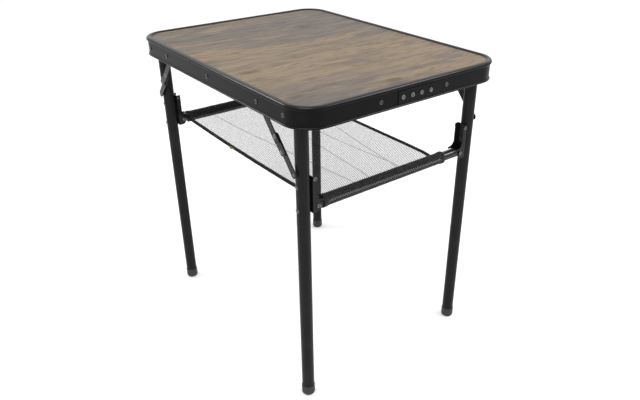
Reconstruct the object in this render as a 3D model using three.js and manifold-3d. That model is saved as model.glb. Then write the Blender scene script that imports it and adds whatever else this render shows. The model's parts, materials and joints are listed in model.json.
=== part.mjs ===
// Folding camp kitchen table: a laminated board in an extruded edge frame, two swinging leg frames with folding
// braces, four plug-in lower legs, and a net shelf hung between the crossbars. Millimetres, +Z up, origin on the
// floor under the middle of the table. X runs along the crossbars, Y along the way the frames fold.
import * as THREE from "three";
import { mergeVertices } from "three/addons/utils/BufferGeometryUtils.js";
import Module from "manifold-3d";

const wasm = await Module();
wasm.setup();

// Overall sizes
const TOP_LENGTH = 600; // along Y
const TOP_WIDTH = 460; // along X
const TABLE_HEIGHT = 610;
const CORNER_RADIUS = 51;

// Clearances
const FIT_GAP = 0.3; // between pieces that touch
const TURNING_GAP = 0.6; // between a piece that turns and the plate beside it
const NOSE_GAP = 3; // between the ends of the two folded upper legs

// Board and edge frame
const BOARD_THICKNESS = 8.7;
const BOARD_REBATE = 0.5; // step down round the board's rim, which the lip covers
const SKIRT_HEIGHT = 38;
const SKIRT_WALL = 2;
const BEAD_RADIUS = 4.5;
const BEAD_PROUD = 2.6; // how far the upper bead stands out from the skirt's face
const LOWER_BEAD_RADIUS = 1.9;
const LIP_THICKNESS = 2.2;
const LIP_REACH = 9.5; // from the outer edge to the lip's inner edge
const LEDGE_THICKNESS = 1.6;
const LEDGE_REACH = 9;
const FLANGE_THICKNESS = 2;
const FLANGE_REACH = 5.6;
const SEAM_GAP = 0.4;
const SEAM_OFFSET = 10; // the end seams and their plates sit off centre, toward +X
const CORNER_STEPS = 9;

// Rivets in the edge frame
const RIVET_RISE = 6.5; // above the fold axis
const RIVET_RADIUS = 3.6;
const RIVET_PROUD = 1.5;
const RIVET_ROOT = 0.6; // depth of a head's root in the piece it sits on
const END_RIVET_SPACING = 152;
const END_RIVET_OFFSET = 6; // toward +X
const SCREW_RADIUS = 3.4;
const SCREW_PROUD = 1;
const SPLICE_LENGTH = 86;
const SPLICE_HEIGHT = 22;
const SPLICE_THICKNESS = 1;
const SPLICE_SCREWS = 4;

// Legs
const LEG_RADIUS = 12;
const LEG_WALL = 1.2;
const LEG_SIDE_INSET = 19; // from the table's side to the leg's outer side
const LEG_END_INSET = 33;
const PIVOT_DEPTH = 27; // from the table's top to the fold axis
const LEG_ABOVE_PIVOT = 5;
const SPIGOT_LENGTH = 46;
const SPIGOT_WALL = 1.2;
const SPIGOT_CHAMFER = 2;
const SPIGOT_PLAY = 0.4;
const FOOT_HEIGHT = 22;
const FOOT_FLOOR = 9;
const FOOT_WALL = 0.6;
const FOOT_ROUNDING = 2.4;

// Leg hinges
const BRACKET_PLATE = 1.6;
const BRACKET_CHEEK = 1.8;
const BRACKET_HALF_WIDTH = 11;
const CHEEK_BELOW_PIVOT = 9;
const HINGE_BOLT_RADIUS = 3;
const HINGE_HEAD_RADIUS = 5.5;
const HINGE_HEAD = 1.4;

// Braces
const BRACE_REACH = 85; // from the fold axis to the upper brace pivot, along Y
const BRACE_DROP = 97; // from the fold axis to the lower brace pivot, down the leg
const BRACE_THICKNESS = 2;
const BRACE_HALF_WIDTH = 6.5;
const BRACE_STANDOFF = 1.5; // from the leg to the lower link
const BRACE_GAP = 1.6; // between the two links, for the lower pivot's head
const BRACE_HEAD = 1.1;
const BRACE_HEAD_RADIUS = 4.2;
const LOCK_REACH = 35; // upper link's length past the elbow
const LOCK_LUG = 3.5; // how far the lock's lug stands out from the link's edge
const LOCK_LUG_LENGTH = 18;
const LOCK_LUG_SLOPE = 4;
const LOCK_ROUND = 3;
const LOCK_WAIST = 1.5; // how much narrower the lock is on the side toward the leg
const LOCK_WAIST_AT = 24; // from the lock's tip
const LOCK_RIVET_AT = 28;

// Crossbars and their elbow brackets
const CROSSBAR_DROP = 162; // from the fold axis down to the crossbar's axis
const CROSSBAR_RADIUS = 9.5;
const ELBOW_SHEET = 1.6;
const ELBOW_LIMB = 9; // width of the upright limb
const ELBOW_REACH = 24; // from the leg to the toe's end
const ELBOW_TOE = 4; // how far the toe laps down over the crossbar
const CHEEK_RIVET_INSET = 5; // from the limb's top and from the leg
const ELBOW_RISE = 57; // from the crossbar's axis to the top of the limb
const ELBOW_FILLET = 12;
const ELBOW_ROUND = 8;
const CROSSBAR_BOLT = 8; // from the rounded corner's edge to the crossbar's bolt
const ELBOW_BOLT_RADIUS = 4;
const ELBOW_BOLT_PROUD = 1.8;
const LEG_BOLT_RISE = [41, -3]; // heads on the leg's outer side, from the crossbar's axis

// Net shelf
const SLEEVE_LENGTH = 293;
const NET_WIDTH = 297; // with its side bindings
const SLEEVE_THICKNESS = 2.2;
const NET_THICKNESS = 1.6;
const BINDING_WIDTH = 8;
const BINDING_THICKNESS = 2.6;

// Smoothness
const ROUND = 24;
const SMALL_ROUND = 12;
const ARC = 4;

// Places worked out from the sizes
const legX = TOP_WIDTH / 2 - LEG_SIDE_INSET - LEG_RADIUS;
const legY = TOP_LENGTH / 2 - LEG_END_INSET - LEG_RADIUS;
const pivotZ = TABLE_HEIGHT - PIVOT_DEPTH;
const splitZ = pivotZ - (legY - NOSE_GAP / 2); // where the lower leg plugs in
const crossbarZ = pivotZ - CROSSBAR_DROP;
const sleeveRadius = CROSSBAR_RADIUS + FIT_GAP + SLEEVE_THICKNESS;
const elbowWidth = 2 * (CROSSBAR_RADIUS + FIT_GAP + ELBOW_SHEET);
const boardTopDepth = LIP_THICKNESS + FIT_GAP;
const boardBottomDepth = boardTopDepth + BOARD_THICKNESS;
const pocketInset = BEAD_PROUD + SKIRT_WALL + FIT_GAP;
const legOuterX = legX + LEG_RADIUS;
const legInnerX = legX - LEG_RADIUS;
const cheekOffset = LEG_RADIUS + TURNING_GAP;
const hingeHeadOffset = cheekOffset + BRACKET_CHEEK + FIT_GAP;
const lowerLinkX = legOuterX + BRACE_STANDOFF;
const upperLinkX = lowerLinkX + BRACE_THICKNESS + BRACE_GAP;
const skirtInnerX = TOP_WIDTH / 2 - BEAD_PROUD - SKIRT_WALL;

// The sleeves have slid along the crossbars until they meet the left elbow brackets.
const shelfRight = SLEEVE_LENGTH - (legInnerX - 2 * FIT_GAP - ELBOW_REACH);
const netMiddleX = shelfRight - NET_WIDTH / 2;
const shelfLength = 2 * (legY - sleeveRadius - FIT_GAP);

// The brace is straight when the frame is open, and lies flat along the skirt when it is folded.
const braceLength = Math.hypot(BRACE_REACH, BRACE_DROP);
const upperLink = (braceLength - (BRACE_DROP - BRACE_REACH)) / 2;
const lowerLink = braceLength - upperLink;
const braceSlope = Math.atan2(BRACE_DROP, BRACE_REACH);

const FINISH = {
  laminate: { color: 0x93806a, roughness: 0.55, metalness: 0 },
  edge: { color: 0x1d1d20, roughness: 0.42, metalness: 0.55 },
  tube: { color: 0x18181a, roughness: 0.4, metalness: 0.5 },
  bracket: { color: 0x1c1c1e, roughness: 0.5, metalness: 0.5 },
  link: { color: 0x2a2a2c, roughness: 0.45, metalness: 0.6 },
  rubber: { color: 0x101011, roughness: 0.8, metalness: 0 },
  sleeve: { color: 0x161617, roughness: 0.95, metalness: 0 },
  net: { color: 0xb9babd, roughness: 0.9, metalness: 0 },
};

const table = new THREE.Group();

function addMesh(name, geometry, finish, parent = table) {
  const mesh = new THREE.Mesh(geometry, new THREE.MeshStandardMaterial(FINISH[finish]));
  mesh.name = name;
  parent.add(mesh);
  return mesh;
}

// A closed geometry as a solid that can be joined and cut.
function solid(geometry) {
  const bare = geometry.clone();
  bare.deleteAttribute("normal");
  bare.deleteAttribute("uv");
  const merged = mergeVertices(bare, 1e-4);
  const mesh = new wasm.Mesh({
    numProp: 3,
    vertProperties: merged.attributes.position.array,
    triVerts: new Uint32Array(merged.index.array),
  });
  return new wasm.Manifold(mesh);
}

function geometryOf(shape) {
  const mesh = shape.getMesh();
  const geometry = new THREE.BufferGeometry();
  geometry.setAttribute("position", new THREE.BufferAttribute(mesh.vertProperties, 3));
  geometry.setIndex(new THREE.BufferAttribute(mesh.triVerts, 1));
  return geometry;
}

function join(...geometries) {
  return geometryOf(geometries.map(solid).reduce((all, next) => all.add(next)));
}

function cut(body, ...tools) {
  return geometryOf(tools.map(solid).reduce((rest, tool) => rest.subtract(tool), solid(body)));
}

// A closed ring or a solid of revolution about Z, from [radius, height] pairs.
function turned(profile, segments = ROUND) {
  return new THREE.LatheGeometry(profile.map(([r, z]) => new THREE.Vector2(r, z)), segments).rotateX(Math.PI / 2);
}

function rodAlongX(radius, from, to, y, z, segments = SMALL_ROUND) {
  return new THREE.CylinderGeometry(radius, radius, to - from, segments)
    .rotateZ(Math.PI / 2)
    .translate((from + to) / 2, y, z);
}

// A low domed head that faces +Z, its root below z = 0.
function domedHead(radius, proud) {
  return turned(
    [
      [0, -RIVET_ROOT],
      [radius, -RIVET_ROOT],
      [radius, 0.3 * proud],
      [0.75 * radius, 0.75 * proud],
      [0.4 * radius, proud],
      [0, proud],
    ],
    SMALL_ROUND,
  );
}

const headTowardX = (radius, proud, side) => domedHead(radius, proud).rotateY((side * Math.PI) / 2);
const headTowardY = (radius, proud, side) => domedHead(radius, proud).rotateX((-side * Math.PI) / 2);

function roundedRectangle(width, length, radius) {
  const x = width / 2 - radius;
  const y = length / 2 - radius;
  const outline = new THREE.Shape();
  outline.absarc(x, y, radius, 0, Math.PI / 2);
  outline.absarc(-x, y, radius, Math.PI / 2, Math.PI);
  outline.absarc(-x, -y, radius, Math.PI, 1.5 * Math.PI);
  outline.absarc(x, -y, radius, 1.5 * Math.PI, 2 * Math.PI);
  outline.closePath();
  return outline;
}

// Half of the table's outline, counterclockwise from one end seam to the other, with a station at each bend.
class EdgeRun extends THREE.Curve {
  constructor(side) {
    super();
    const x = TOP_WIDTH / 2 - CORNER_RADIUS;
    const y = TOP_LENGTH / 2 - CORNER_RADIUS;
    this.stations = [];
    const station = (px, py, angle) => {
      const tangent = new THREE.Vector3(Math.cos(angle), Math.sin(angle), 0);
      this.stations.push({ point: new THREE.Vector3(side * px, side * py, TABLE_HEIGHT), tangent });
      tangent.multiplyScalar(side);
    };
    station(SEAM_GAP / 2 + side * SEAM_OFFSET, -TOP_LENGTH / 2, 0);
    for (const [cx, cy, start] of [[x, -y, -Math.PI / 2], [x, y, 0]]) {
      for (let i = 0; i <= CORNER_STEPS; i++) {
        const angle = start + ((Math.PI / 2) * i) / CORNER_STEPS;
        const px = cx + CORNER_RADIUS * Math.cos(angle);
        const py = cy + CORNER_RADIUS * Math.sin(angle);
        station(px, py, angle + Math.PI / 2);
      }
    }
    station(SEAM_GAP / 2 + side * SEAM_OFFSET, TOP_LENGTH / 2, Math.PI);
  }

  get steps() {
    return this.stations.length - 1;
  }

  getPoint(t) {
    return this.stations[Math.round(t * this.steps)].point.clone();
  }

  getPointAt(u) {
    return this.getPoint(u);
  }

  getTangentAt(u) {
    return this.stations[Math.round(u * this.steps)].tangent.clone();
  }
}

// The edge frame's section: x is the depth below the table's top, y the inset from its outline.
function edgeSection() {
  const skirtInset = BEAD_PROUD;
  const innerInset = BEAD_PROUD + SKIRT_WALL;
  const ledgeTop = boardBottomDepth + FIT_GAP;
  const ledgeBottom = ledgeTop + LEDGE_THICKNESS;
  const beadEnd = 2 * Math.PI - Math.asin((BEAD_RADIUS - BEAD_PROUD) / BEAD_RADIUS);
  const lowerBeadX = SKIRT_HEIGHT - LOWER_BEAD_RADIUS;
  const section = new THREE.Shape();
  section.moveTo(LIP_THICKNESS, LIP_REACH);
  section.lineTo(LIP_THICKNESS / 2, LIP_REACH);
  section.lineTo(0, LIP_REACH - LIP_THICKNESS);
  section.absarc(BEAD_RADIUS, BEAD_RADIUS, BEAD_RADIUS, Math.PI, 1.5 * Math.PI);
  section.absarc(BEAD_RADIUS, BEAD_RADIUS, BEAD_RADIUS, 1.5 * Math.PI, beadEnd);
  section.lineTo(lowerBeadX - LOWER_BEAD_RADIUS, skirtInset);
  section.absarc(lowerBeadX, skirtInset, LOWER_BEAD_RADIUS, Math.PI, 2 * Math.PI);
  section.lineTo(SKIRT_HEIGHT, FLANGE_REACH);
  section.lineTo(SKIRT_HEIGHT - FLANGE_THICKNESS, FLANGE_REACH);
  section.lineTo(SKIRT_HEIGHT - FLANGE_THICKNESS, innerInset);
  section.lineTo(ledgeBottom, innerInset);
  section.lineTo(ledgeBottom, LEDGE_REACH);
  section.lineTo(ledgeTop, LEDGE_REACH);
  section.lineTo(ledgeTop, innerInset);
  section.lineTo(LIP_THICKNESS, innerInset);
  section.closePath();
  return section;
}

// One half of the edge frame, with its rivet heads.
function edgeHalf(side) {
  const run = new EdgeRun(side);
  const frame = new THREE.ExtrudeGeometry(edgeSection(), {
    steps: run.steps,
    extrudePath: run,
    curveSegments: ARC,
  });
  const rivetZ = pivotZ + RIVET_RISE;
  const faceX = TOP_WIDTH / 2 - BEAD_PROUD;
  const faceY = TOP_LENGTH / 2 - BEAD_PROUD;
  const braceY = legY - BRACE_REACH;
  const cornerY = TOP_LENGTH / 2 - CORNER_RADIUS;
  const heads = [-cornerY, -braceY, 0, braceY, cornerY].map((y) =>
    headTowardX(RIVET_RADIUS, RIVET_PROUD, side).translate(side * faceX, y, rivetZ),
  );
  for (const end of [-1, 1]) {
    const head = headTowardY(RIVET_RADIUS, RIVET_PROUD, end);
    heads.push(head.translate(END_RIVET_OFFSET + (side * END_RIVET_SPACING) / 2, end * faceY, rivetZ));
  }
  return join(frame, ...heads);
}

// A slab of the board between two depths below the table's top.
function boardLayer(inset, fromDepth, toDepth) {
  const outline = roundedRectangle(TOP_WIDTH - 2 * inset, TOP_LENGTH - 2 * inset, CORNER_RADIUS - inset);
  return new THREE.ExtrudeGeometry(outline, {
    depth: toDepth - fromDepth,
    bevelEnabled: false,
    curveSegments: 2 * ARC,
  }).translate(0, 0, TABLE_HEIGHT - toDepth);
}

// The board's face shows inside the lip; its rim steps down and runs in under the lip.
function board() {
  const rimTop = boardTopDepth + BOARD_REBATE;
  const rim = boardLayer(pocketInset + FIT_GAP, rimTop, boardBottomDepth);
  const face = boardLayer(LIP_REACH + FIT_GAP, boardTopDepth, rimTop + BOARD_REBATE);
  return join(rim, face);
}

// The plate over an end seam, with its row of screws.
function splicePlate(end) {
  const faceY = TOP_LENGTH / 2 - BEAD_PROUD + FIT_GAP + SPLICE_THICKNESS;
  const middleZ = TABLE_HEIGHT - (2 * BEAD_RADIUS + SKIRT_HEIGHT - 2 * LOWER_BEAD_RADIUS) / 2;
  const plate = new THREE.BoxGeometry(SPLICE_LENGTH, SPLICE_THICKNESS, SPLICE_HEIGHT);
  plate.translate(SEAM_OFFSET, end * (faceY - SPLICE_THICKNESS / 2), middleZ);
  const screws = [];
  for (let i = 0; i < SPLICE_SCREWS; i++) {
    const x = SEAM_OFFSET + (SPLICE_LENGTH / SPLICE_SCREWS) * (i + 0.5) - SPLICE_LENGTH / 2;
    screws.push(headTowardY(SCREW_RADIUS, SCREW_PROUD, end).translate(x, end * faceY, middleZ));
  }
  return join(plate, ...screws);
}

// The saddle under the board that a leg turns in.
function hingeBracket(sideX, sideY) {
  const plateTop = TABLE_HEIGHT - boardBottomDepth - FIT_GAP;
  const cheekFoot = pivotZ - CHEEK_BELOW_PIVOT;
  const cheekMiddle = cheekOffset + BRACKET_CHEEK / 2;
  const plate = new THREE.BoxGeometry(
    2 * (cheekOffset + BRACKET_CHEEK),
    2 * BRACKET_HALF_WIDTH,
    BRACKET_PLATE,
  ).translate(0, 0, plateTop - BRACKET_PLATE / 2);
  const cheeks = [-1, 1].map((s) =>
    new THREE.BoxGeometry(BRACKET_CHEEK, 2 * BRACKET_HALF_WIDTH, plateTop - cheekFoot).translate(
      s * cheekMiddle,
      0,
      (plateTop + cheekFoot) / 2,
    ),
  );
  const reach = cheekOffset + 2 * BRACKET_CHEEK;
  const hole = rodAlongX(HINGE_BOLT_RADIUS + FIT_GAP, -reach, reach, 0, pivotZ);
  return cut(join(plate, ...cheeks), hole).translate(sideX * legX, sideY * legY, 0);
}

// An upper leg with its hinge bolt, the stud of its brace and the heads of the bolts through it.
function upperLeg(sideX, sideY) {
  const top = pivotZ + LEG_ABOVE_PIVOT;
  const bore = LEG_RADIUS - LEG_WALL;
  const tube = turned([
    [bore, splitZ],
    [LEG_RADIUS, splitZ],
    [LEG_RADIUS, top],
    [bore, top],
    [bore, splitZ],
  ]);
  const boltEnd = hingeHeadOffset + HINGE_HEAD;
  const bolt = rodAlongX(HINGE_BOLT_RADIUS, -boltEnd, boltEnd, 0, pivotZ);
  const boltHeads = [-1, 1].map((s) => {
    const middle = s * (hingeHeadOffset + HINGE_HEAD / 2);
    return rodAlongX(HINGE_HEAD_RADIUS, middle - HINGE_HEAD / 2, middle + HINGE_HEAD / 2, 0, pivotZ);
  });
  const studEnd = lowerLinkX - legX - FIT_GAP;
  const stud = new THREE.CylinderGeometry(BRACE_HEAD_RADIUS, BRACE_HEAD_RADIUS, studEnd - bore, SMALL_ROUND)
    .rotateZ(Math.PI / 2)
    .translate((sideX * (studEnd + bore)) / 2, 0, pivotZ - BRACE_DROP);
  const heads = LEG_BOLT_RISE.map((rise) =>
    headTowardX(ELBOW_BOLT_RADIUS, ELBOW_BOLT_PROUD, sideX).translate(
      sideX * (LEG_RADIUS - RIVET_ROOT / 4),
      0,
      crossbarZ + rise,
    ),
  );
  return join(tube, bolt, ...boltHeads, stud, ...heads).translate(sideX * legX, sideY * legY, 0);
}

// A lower leg: a tube with a narrower spigot that plugs into the upper leg.
function lowerLeg(sideX, sideY) {
  const bore = LEG_RADIUS - LEG_WALL;
  const spigot = bore - SPIGOT_PLAY;
  const spigotBore = spigot - SPIGOT_WALL;
  const foot = FOOT_FLOOR + FIT_GAP;
  const shoulder = splitZ - FIT_GAP;
  const tip = splitZ + SPIGOT_LENGTH;
  return turned([
    [bore, foot],
    [LEG_RADIUS, foot],
    [LEG_RADIUS, shoulder],
    [spigot, shoulder],
    [spigot, tip - SPIGOT_CHAMFER],
    [spigot - SPIGOT_WALL / 2, tip],
    [spigotBore, tip],
    [spigotBore, shoulder - LEG_WALL],
    [bore, shoulder - LEG_WALL],
    [bore, foot],
  ]).translate(sideX * legX, sideY * legY, 0);
}

function footCap(sideX, sideY) {
  const inner = LEG_RADIUS + FIT_GAP;
  const outer = inner + FOOT_WALL;
  return turned([
    [0, 0],
    [outer - FOOT_ROUNDING, 0],
    [outer - 0.3 * FOOT_ROUNDING, 0.3 * FOOT_ROUNDING],
    [outer, FOOT_ROUNDING],
    [outer, FOOT_HEIGHT],
    [inner, FOOT_HEIGHT],
    [inner, FOOT_FLOOR],
    [0, FOOT_FLOOR],
  ]).translate(sideX * legX, sideY * legY, 0);
}

// A flat link in the YZ plane, its inner face at innerX. Its outline is drawn with x along the link.
function flatLink(outline, innerX, y, z, direction) {
  const link = new THREE.ExtrudeGeometry(outline, {
    depth: BRACE_THICKNESS,
    bevelEnabled: false,
    curveSegments: ARC,
  });
  link.rotateX(Math.PI / 2).rotateZ(Math.PI / 2);
  return link.translate(BRACE_THICKNESS, 0, 0).rotateX(direction).translate(innerX, y, z);
}

function lowerLinkOutline() {
  const w = BRACE_HALF_WIDTH;
  const outline = new THREE.Shape();
  outline.absarc(0, 0, w, Math.PI / 2, 1.5 * Math.PI);
  outline.absarc(lowerLink, 0, w, -Math.PI / 2, Math.PI / 2);
  outline.closePath();
  return outline;
}

// The upper link goes on past the elbow as the lock, whose lug stands out on the side away from the leg.
function upperLinkOutline() {
  const w = BRACE_HALF_WIDTH;
  const narrow = w - LOCK_WAIST;
  const tip = upperLink + LOCK_REACH;
  const lugStart = tip - LOCK_LUG_LENGTH;
  const lugTop = w + LOCK_LUG;
  const outline = new THREE.Shape();
  outline.absarc(0, 0, w, Math.PI / 2, 1.5 * Math.PI);
  outline.lineTo(tip - LOCK_WAIST_AT, -w);
  outline.lineTo(tip - LOCK_WAIST_AT, -narrow);
  outline.lineTo(tip - narrow, -narrow);
  outline.absarc(tip - narrow, 0, narrow, -Math.PI / 2, 0);
  outline.lineTo(tip, lugTop - LOCK_ROUND);
  outline.absarc(tip - LOCK_ROUND, lugTop - LOCK_ROUND, LOCK_ROUND, 0, Math.PI / 2);
  outline.lineTo(lugStart, lugTop);
  outline.lineTo(lugStart - LOCK_LUG_SLOPE, w);
  outline.closePath();
  return outline;
}

// A shape made for the +X, +Y corner, mirrored into any corner.
function placed(geometry, sideX, sideY) {
  const shape = solid(geometry);
  const mirroredX = sideX < 0 ? shape.mirror([1, 0, 0]) : shape;
  return geometryOf(sideY < 0 ? mirroredX.mirror([0, 1, 0]) : mirroredX);
}

// The link hung from the skirt: from its pivot it runs outward and down to the elbow and on to the lock.
function upperBraceLink(sideX, sideY) {
  const y = legY - BRACE_REACH;
  const strip = flatLink(upperLinkOutline(), upperLinkX, y, pivotZ, -braceSlope);
  const along = (distance) => [y + distance * Math.cos(braceSlope), pivotZ - distance * Math.sin(braceSlope)];
  const outerX = upperLinkX + BRACE_THICKNESS;
  const boss = rodAlongX(BRACE_HEAD_RADIUS, outerX - RIVET_ROOT, skirtInnerX - FIT_GAP, y, pivotZ);
  const heads = [upperLink, upperLink + LOCK_RIVET_AT].map((distance) =>
    headTowardX(BRACE_HEAD_RADIUS, BRACE_HEAD, 1).translate(outerX, ...along(distance)),
  );
  return placed(join(strip, boss, ...heads), sideX, sideY);
}

// The link on the leg: from its pivot on the leg it runs inward and up to the elbow.
function lowerBraceLink(sideX, sideY) {
  const z = pivotZ - BRACE_DROP;
  const strip = flatLink(lowerLinkOutline(), lowerLinkX, legY, z, Math.PI - braceSlope);
  const head = headTowardX(BRACE_HEAD_RADIUS, BRACE_HEAD, 1);
  head.translate(lowerLinkX + BRACE_THICKNESS, legY, z);
  return placed(join(strip, head), sideX, sideY);
}

// An elbow bracket's cheek in XZ, measured from the leg's side and the crossbar's axis: an upright limb, a toe that
// reaches along the top of the crossbar, and a rounded lower corner round the crossbar's bolt.
function elbowOutline() {
  const bench = CROSSBAR_RADIUS + FIT_GAP;
  const heel = ELBOW_ROUND + CROSSBAR_BOLT;
  const foot = -bench - ELBOW_SHEET;
  const outline = new THREE.Shape();
  outline.moveTo(0, ELBOW_RISE);
  outline.lineTo(0, foot);
  outline.absarc(heel - ELBOW_ROUND, foot + ELBOW_ROUND, ELBOW_ROUND, 1.5 * Math.PI, 2 * Math.PI);
  outline.lineTo(heel, bench - ELBOW_TOE);
  outline.lineTo(ELBOW_REACH, bench - ELBOW_TOE);
  outline.lineTo(ELBOW_REACH, bench);
  outline.absarc(ELBOW_LIMB + ELBOW_FILLET, bench + ELBOW_FILLET, ELBOW_FILLET, 1.5 * Math.PI, Math.PI, true);
  outline.lineTo(ELBOW_LIMB, ELBOW_RISE);
  outline.closePath();
  return outline;
}

// A pressed channel that holds the crossbar's end between its cheeks, bolted to the inner side of the leg.
function elbowBracket(sideX, sideY) {
  const body = new THREE.ExtrudeGeometry(elbowOutline(), {
    depth: elbowWidth,
    bevelEnabled: false,
    curveSegments: ARC,
  });
  body.translate(0, 0, -elbowWidth / 2).rotateX(Math.PI / 2);
  const hollow = new THREE.BoxGeometry(ELBOW_REACH, elbowWidth - 2 * ELBOW_SHEET, 3 * ELBOW_RISE);
  hollow.translate(ELBOW_SHEET + ELBOW_REACH / 2, 0, 0);
  const boltX = ELBOW_ROUND + CROSSBAR_BOLT / 2;
  const heads = [];
  for (const [x, z] of [[CHEEK_RIVET_INSET, ELBOW_RISE - CHEEK_RIVET_INSET], [boltX, 0]]) {
    for (const s of [-1, 1]) {
      const head = headTowardY(ELBOW_BOLT_RADIUS, ELBOW_BOLT_PROUD, s);
      heads.push(head.translate(x, (s * elbowWidth) / 2, z));
    }
  }
  const made = join(cut(body, hollow), ...heads).translate(-(legInnerX - FIT_GAP), legY, crossbarZ);
  return placed(made, -sideX, sideY);
}

function crossbar(sideY) {
  const half = legInnerX - FIT_GAP - ELBOW_SHEET - FIT_GAP;
  const wall = SPIGOT_WALL;
  return turned([
    [CROSSBAR_RADIUS - wall, -half],
    [CROSSBAR_RADIUS, -half],
    [CROSSBAR_RADIUS, half],
    [CROSSBAR_RADIUS - wall, half],
    [CROSSBAR_RADIUS - wall, -half],
  ])
    .rotateY(Math.PI / 2)
    .translate(0, sideY * legY, crossbarZ);
}

function sleeve(sideY) {
  const half = SLEEVE_LENGTH / 2;
  const inner = CROSSBAR_RADIUS + FIT_GAP;
  return turned([
    [inner, -half],
    [sleeveRadius, -half],
    [sleeveRadius, half],
    [inner, half],
    [inner, -half],
  ])
    .rotateY(Math.PI / 2)
    .translate(shelfRight - half, sideY * legY, crossbarZ);
}

function shelfNet() {
  const width = NET_WIDTH - 2 * (BINDING_WIDTH + FIT_GAP);
  return new THREE.BoxGeometry(width, shelfLength, NET_THICKNESS).translate(netMiddleX, 0, crossbarZ);
}

function shelfBinding(side) {
  const x = netMiddleX + (side * (NET_WIDTH - BINDING_WIDTH)) / 2;
  return new THREE.BoxGeometry(BINDING_WIDTH, shelfLength, BINDING_THICKNESS).translate(x, 0, crossbarZ);
}

addMesh("tabletop_board", board(), "laminate");
for (const [side, hand] of [[-1, "left"], [1, "right"]]) {
  addMesh(`edge_frame_${hand}`, edgeHalf(side), "edge");
  addMesh(`shelf_binding_${hand}`, shelfBinding(side), "sleeve");
}
addMesh("shelf_net", shelfNet(), "net");

for (const [sideY, end] of [[-1, "front"], [1, "back"]]) {
  addMesh(`splice_plate_${end}`, splicePlate(sideY), "bracket");
  addMesh(`crossbar_${end}`, crossbar(sideY), "tube");
  addMesh(`shelf_sleeve_${end}`, sleeve(sideY), "sleeve");
  for (const [sideX, hand] of [[-1, "left"], [1, "right"]]) {
    const corner = `${end}_${hand}`;
    addMesh(`hinge_bracket_${corner}`, hingeBracket(sideX, sideY), "bracket");
    addMesh(`upper_leg_${corner}`, upperLeg(sideX, sideY), "tube");
    addMesh(`elbow_bracket_${corner}`, elbowBracket(sideX, sideY), "bracket");
    addMesh(`brace_upper_${corner}`, upperBraceLink(sideX, sideY), "link");
    addMesh(`brace_lower_${corner}`, lowerBraceLink(sideX, sideY), "link");
    addMesh(`lower_leg_${corner}`, lowerLeg(sideX, sideY), "tube");
    addMesh(`foot_cap_${corner}`, footCap(sideX, sideY), "rubber");
  }
}

export default table;
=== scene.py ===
"""Folding camp kitchen table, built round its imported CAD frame.

Lengths are in metres, in the CAD frame: +Z up, X along the crossbars, Y along the way the leg frames fold.
"""

import json
import math

import bmesh
import bpy
from bpy.props import FloatProperty, FloatVectorProperty, IntProperty, PointerProperty
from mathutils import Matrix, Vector, noise


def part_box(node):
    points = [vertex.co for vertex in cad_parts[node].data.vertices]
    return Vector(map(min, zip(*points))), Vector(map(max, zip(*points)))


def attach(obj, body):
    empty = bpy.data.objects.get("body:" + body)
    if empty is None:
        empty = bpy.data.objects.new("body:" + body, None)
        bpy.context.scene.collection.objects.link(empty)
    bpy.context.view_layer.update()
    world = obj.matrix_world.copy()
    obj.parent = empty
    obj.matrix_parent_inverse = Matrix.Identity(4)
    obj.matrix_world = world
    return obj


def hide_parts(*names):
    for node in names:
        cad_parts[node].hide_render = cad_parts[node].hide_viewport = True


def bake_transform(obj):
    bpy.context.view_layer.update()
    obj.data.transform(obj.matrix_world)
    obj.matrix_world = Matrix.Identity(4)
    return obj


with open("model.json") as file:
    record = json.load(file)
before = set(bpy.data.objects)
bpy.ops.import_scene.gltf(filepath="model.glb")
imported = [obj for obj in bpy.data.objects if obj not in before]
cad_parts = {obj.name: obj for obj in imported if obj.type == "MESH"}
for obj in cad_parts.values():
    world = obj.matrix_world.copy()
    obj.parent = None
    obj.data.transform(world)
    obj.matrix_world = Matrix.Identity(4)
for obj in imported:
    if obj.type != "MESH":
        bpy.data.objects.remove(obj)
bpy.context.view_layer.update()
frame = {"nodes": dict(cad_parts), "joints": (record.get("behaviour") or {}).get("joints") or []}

bl_info = {
    "name": "Camp Kitchen Table",
    "version": (1, 0, 0),
    "blender": (4, 5, 0),
    "location": "3D View > Sidebar > Camp Table",
    "description": "Builds the finished pieces of a folding camp kitchen table on its CAD frame",
    "category": "Add Mesh",
}

NODES = frame["nodes"]
ENDS = {"front": -1, "back": 1}
HANDS = {"left": -1, "right": 1}
CORNERS = [(end, hand) for end in ENDS for hand in HANDS]


def middle(node):
    """The middle of a CAD node's box."""
    low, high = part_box(node)
    return (low + high) / 2


# ------------ places

EDGE_LOW, EDGE_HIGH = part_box("edge_frame_right")
SEAM = {-1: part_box("edge_frame_left")[1].x, 1: EDGE_LOW.x}
BOARD_LOW, BOARD_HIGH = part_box("tabletop_board")
LEG_X = middle("foot_cap_back_right").x
LEG_Y = middle("foot_cap_back_right").y
LEG_RADIUS = (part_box("lower_leg_back_right")[1].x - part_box("lower_leg_back_right")[0].x) / 2
SLEEVE_LOW, SLEEVE_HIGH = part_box("shelf_sleeve_front")
BAR_Z = middle("crossbar_front").z
BAR_RADIUS = (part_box("crossbar_front")[1].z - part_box("crossbar_front")[0].z) / 2
NET_LOW, NET_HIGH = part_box("shelf_net")
JOINT_AT = {joint["name"]: Vector(joint.get("pos_m", (0, 0, 0))) for joint in frame["joints"]}
FOLD_Z = JOINT_AT["fold_front"].z

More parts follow.
